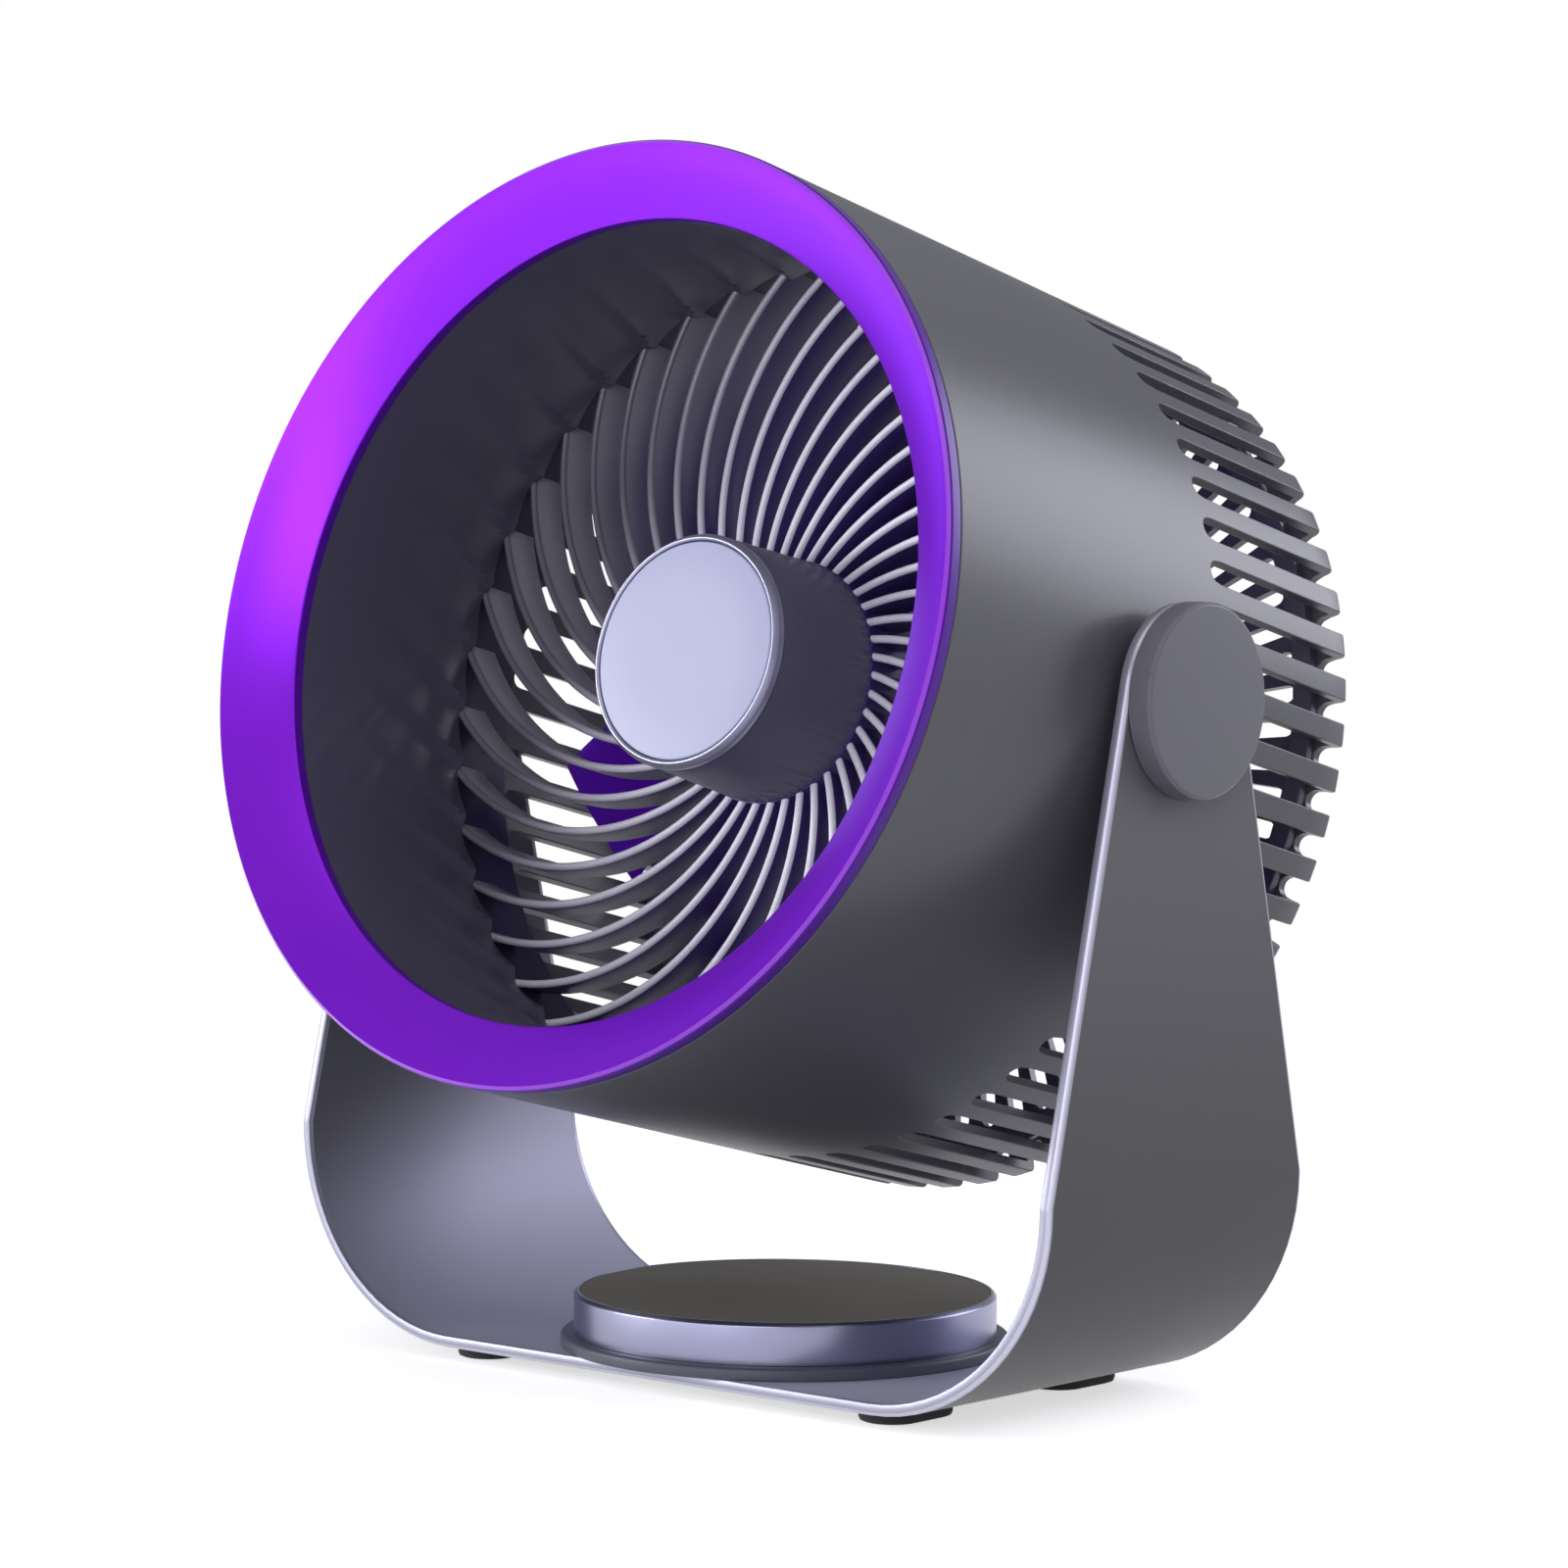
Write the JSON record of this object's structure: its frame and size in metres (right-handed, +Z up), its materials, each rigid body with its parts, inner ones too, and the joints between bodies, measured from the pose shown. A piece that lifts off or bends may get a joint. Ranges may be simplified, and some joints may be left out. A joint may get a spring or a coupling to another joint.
{
  "type": "air circulator fan",
  "caption": "Round drum air circulator with curved guide vanes, a bright front ring and side slots, tilting between the arms of a U-shaped band on a weighted round base.",
  "frame": {"origin": "on the standing surface, below the middle of the whole fan", "axes": "+Z up, the fan blows toward -Y, +X to the right seen from the front"},
  "size_m": [0.2136, 0.1754, 0.2517],
  "materials": {
    "shell_grey": "satin moulded",
    "band_grey": "satin",
    "bright_edge": "satin",
    "duct_dark": "moulded",
    "ring_violet": "satin",
    "blade_violet": "moulded",
    "vane_grey": "moulded",
    "cap_lavender": "satin",
    "cap_silver": "satin",
    "base_dark": "moulded",
    "base_soft": "matt",
    "foot_rubber": "matt",
    "bush_nylon": "natural",
    "washer_dark": "matt",
    "steel": "bright",
    "brass": "turned",
    "ballast_iron": "raw",
    "magnet": "raw",
    "lamination": "stamped",
    "copper_wire": "enamelled",
    "board_green": "glass epoxy",
    "battery_blue": "shrink sleeve",
    "switch_black": "moulded",
    "light_white": "diffuse"
  },
  "bodies": {
    "stand": {"stand_band": "band_grey", "edge_trim": "bright_edge", "foot_pads": "foot_rubber", "base_plate": "base_dark", "ballast_disc": "ballast_iron", "base_housing": "shell_grey", "base_top": "base_soft", "base_screws": "steel", "arm_bush_left": "bush_nylon", "arm_bush_right": "bush_nylon", "friction_washer_left": "washer_dark", "friction_washer_right": "washer_dark", "pivot_cap_left": "shell_grey", "pivot_cap_right": "shell_grey"},
    "head": {"drum_shell": "shell_grey", "front_ring": "ring_violet", "inner_duct": "duct_dark", "guide_vanes": "vane_grey", "hub_nose": "duct_dark", "cap_rim": "cap_silver", "cap_disc": "cap_lavender", "pivot_insert_left": "brass", "pivot_insert_right": "brass", "pivot_bolt_left": "steel", "pivot_bolt_right": "steel", "rear_grille": "duct_dark", "grille_screws": "steel", "control_pod": "duct_dark", "battery_pack": "battery_blue", "control_board": "board_green", "button_switch": "switch_black", "charging_inlet": "steel", "indicator_lights": "light_white", "stator_core": "lamination", "stator_windings": "copper_wire", "bearing_front": "steel", "bearing_rear": "steel"},
    "rotor": {"impeller": "blade_violet", "rotor_ring": "steel", "magnet_ring": "magnet", "motor_shaft": "steel"},
    "button": {"power_button": "ring_violet"}
  },
  "joints": [
    {"name": "head_tilt", "type": "hinge", "parent": "stand", "child": "head", "pos_m": [0, 0.00345, 0.1422], "axis": [1, 0, 0], "range_deg": [-76.5, 103.5]},
    {"name": "impeller_spin", "type": "hinge", "parent": "head", "child": "rotor", "pos_m": [0, 0.00345, 0.1422], "axis": [0, -0.9724, 0.2334], "continuous": true},
    {"name": "power_button_press", "type": "slide", "parent": "head", "child": "button", "axis": [0, -0.9724, 0.2334], "range_m": [0, 0.0009], "stiffness_N_per_m": 400, "springref_m": -0.0005}
  ]
}
